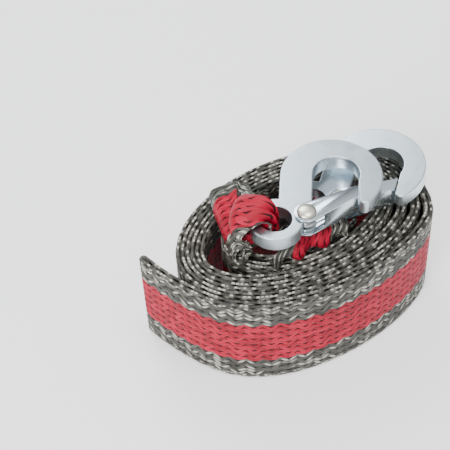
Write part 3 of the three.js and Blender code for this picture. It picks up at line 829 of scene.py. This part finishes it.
def hook_outline():
    """The plate's outline, round from the eye by the latch's boss, throat, nose and bow."""
    eye_centre = np.zeros(2)
    way, out = unit(SHANK_ANGLE), unit(SHANK_ANGLE + 90)
    outer_line = (BOW_CENTRE + out * BOW_RADIUS) @ out
    inner_line = (THROAT_CENTRE + out * THROAT_RADIUS) @ out
    eye_join = out * outer_line + way * math.sqrt(EYE_RADIUS ** 2 - outer_line ** 2)
    apart = np.linalg.norm(PIVOT)
    along = (apart ** 2 + EYE_RADIUS ** 2 - PIVOT_BOSS_RADIUS ** 2) / (2 * apart)
    to_pivot = PIVOT / apart
    beside = np.array((to_pivot[1], -to_pivot[0]))
    boss_join = along * to_pivot + math.sqrt(EYE_RADIUS ** 2 - along ** 2) * beside
    drop = inner_line - PIVOT @ out
    boss_side = PIVOT + out * drop + way * math.sqrt(PIVOT_BOSS_RADIUS ** 2 - drop ** 2)
    nose_centre = BOW_CENTRE + (BOW_RADIUS - NOSE_RADIUS) * unit(NOSE_ANGLE)
    start, end = angle_to(eye_centre, eye_join), 360 + angle_to(eye_centre, boss_join)
    points = arc(eye_centre, EYE_RADIUS, start, end, 48)
    start, end = angle_to(PIVOT, boss_join), angle_to(PIVOT, boss_side)
    points += arc(PIVOT, PIVOT_BOSS_RADIUS, start, end, 16)
    points += arc(THROAT_CENTRE, THROAT_RADIUS, SHANK_ANGLE + 90, THROAT_END_ANGLE, 40)
    points += arc(nose_centre, NOSE_RADIUS, SHANK_ANGLE + 90, 360 + NOSE_ANGLE, 14)
    points += arc(BOW_CENTRE, BOW_RADIUS, NOSE_ANGLE, SHANK_ANGLE + 90, 64)[1:]
    following = points[1:] + points[:1]
    return [p for p, q in zip(points, following) if math.dist(p, q) > SHORTEST_EDGE]


print("points of a hook's outline:", len(hook_outline()))

# %% [markdown]
# Every cut in a hook is round: the eye's hole, the rivet's bore and the slot between the
# lugs where the latch turns. One helper makes them all, and two more put a finished piece
# in its place and tell the frame what it is.

# %% Cut, place and name a piece
def cut_away(piece, place, radius, bottom, top):
    """Takes a round cut out of a piece, in millimetres of the hook's own frame."""
    bpy.ops.object.select_all(action="DESELECT")
    bpy.ops.mesh.primitive_cylinder_add(
        vertices=64, radius=radius * MM, depth=(top - bottom) * MM,
        location=(place[0] * MM, place[1] * MM, (top + bottom) / 2 * MM))
    cutter = bpy.context.active_object
    bpy.context.view_layer.objects.active = piece
    cut = piece.modifiers.new("cut", "BOOLEAN")
    cut.object = cutter
    cut.operation = "DIFFERENCE"
    cut.solver = "EXACT"
    bpy.ops.object.modifier_apply(modifier="cut")
    bpy.data.objects.remove(cutter)


def put_in_place(piece, place):
    """Moves a finished mesh to its place and leaves the object at the origin."""
    piece.data.transform(place)
    piece.data.update()


def belong(piece, body, node, material):
    """Gives a piece its material, and says what it moves with and which node it replaces."""
    piece.data.materials.clear()
    piece.data.materials.append(material)
    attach(piece, body)
    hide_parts(node)
    print(piece.name, "faces:", len(piece.data.polygons))


# %% [markdown]
# A circle's points are set on the outline, extruded to the plate's thickness and bored for
# the eye. Forged rims are well rounded, so they are bevelled in five steps. The latch's
# slot and the rivet's bore come last, so their edges stay crisp as machined ones do. A big
# flat face beside small bevels shades as if it were bent, so its normals are weighted.

# %% Forge a hook
BORE_OVERRUN = 1


def forged_hook(name):
    """One hook in its own frame, with the middle of its eye at the origin."""
    outline = hook_outline()
    bpy.ops.object.select_all(action="DESELECT")
    bpy.ops.mesh.primitive_circle_add(
        vertices=len(outline), radius=BOW_RADIUS * MM, fill_type="NGON")
    piece = bpy.context.active_object
    piece.name = piece.data.name = name
    for vertex, (x, y) in zip(piece.data.vertices, outline):
        vertex.co = (x * MM, y * MM, 0)
    bpy.ops.object.mode_set(mode="EDIT")
    bpy.ops.mesh.select_all(action="SELECT")
    rise = (0, 0, HOOK_THICKNESS * MM)
    bpy.ops.mesh.extrude_region_move(TRANSFORM_OT_translate={"value": rise})
    bpy.ops.mesh.select_all(action="SELECT")
    bpy.ops.mesh.normals_make_consistent(inside=False)
    bpy.ops.object.mode_set(mode="OBJECT")
    bottom, top = -BORE_OVERRUN, HOOK_THICKNESS + BORE_OVERRUN
    cut_away(piece, (0, 0), EYE_HOLE_RADIUS, bottom, top)
    rim = piece.modifiers.new("rim", "BEVEL")
    rim.width = RIM_ROUNDING * MM
    rim.segments = 5
    rim.limit_method = "ANGLE"
    rim.angle_limit = math.radians(60)
    bpy.ops.object.modifier_apply(modifier="rim")
    cut_away(piece, PIVOT, RIVET_RADIUS + CLEARANCE, bottom, top)
    cut_away(piece, PIVOT, PIVOT_BOSS_RADIUS + CLEARANCE, LUG, HOOK_THICKNESS - LUG)
    bpy.ops.object.select_all(action="DESELECT")
    piece.select_set(True)
    bpy.context.view_layer.objects.active = piece
    bpy.ops.object.shade_smooth_by_angle(angle=math.radians(35))
    weighted = piece.modifiers.new("weighted", "WEIGHTED_NORMAL")
    weighted.weight = 100
    weighted.keep_sharp = True
    bpy.ops.object.modifier_apply(modifier="weighted")
    return piece


for end, hook in (("front", FRONT_HOOK), ("rear", REAR_HOOK)):
    piece = forged_hook(f"forged_hook_{end}")
    in_metres = hook_matrix(hook)
    in_metres.translation *= MM
    put_in_place(piece, in_metres)
    belong(piece, "strap", f"hook_{end}", zinc)

# %% [markdown]
# The latch, rivet and spring already have their true shapes in the measured model. A copy
# of each is merged and its flat faces are joined up again. The hard edges of the latch and
# the rivet are rounded with a small bevel, because no pressed edge is sharp.

# %% Latches, rivets and springs
MERGE_WITHIN = 0.00001
LATCH_ROUNDING, RIVET_ROUNDING, WIRE_ROUNDING = 0.18, 0.15, 0


def dressed_copy(node, name, material, body, rounding):
    """A copy of a node, merged, with its hard edges rounded by a bevel in mm."""
    bpy.ops.object.select_all(action="DESELECT")
    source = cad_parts[node]
    piece = source.copy()
    piece.data = source.data.copy()
    for key in list(piece.keys()):
        if key.startswith("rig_"):
            del piece[key]
    piece.name = name
    piece.data.name = name
    piece.parent = None
    bpy.context.scene.collection.objects.link(piece)
    bpy.context.view_layer.objects.active = piece
    piece.select_set(True)
    bpy.ops.object.mode_set(mode="EDIT")
    bpy.ops.mesh.select_all(action="SELECT")
    bpy.ops.mesh.remove_doubles(threshold=MERGE_WITHIN)
    bpy.ops.mesh.dissolve_limited(angle_limit=math.radians(1))
    bpy.ops.object.mode_set(mode="OBJECT")
    if rounding:
        bevel = piece.modifiers.new("rounding", "BEVEL")
        bevel.width = rounding * MM
        bevel.segments = 2
        bevel.limit_method = "ANGLE"
        bevel.angle_limit = math.radians(28)
        bpy.ops.object.modifier_apply(modifier="rounding")
    bpy.ops.object.shade_smooth_by_angle(angle=math.radians(32))
    belong(piece, body, node, material)


for end in ("front", "rear"):
    latch_body = f"{end}_latch"
    dressed_copy(
        f"latch_{end}", f"pressed_latch_{end}", latch_zinc, latch_body, LATCH_ROUNDING)
    dressed_copy(
        f"rivet_{end}", f"domed_rivet_{end}", rivet_steel, "strap", RIVET_ROUNDING)
    dressed_copy(
        f"latch_spring_{end}", f"wound_spring_{end}", wire_steel, latch_body,
        WIRE_ROUNDING)

# %% [markdown]
# The last line clears the selection.

# %% Finish
bpy.ops.object.select_all(action="DESELECT")
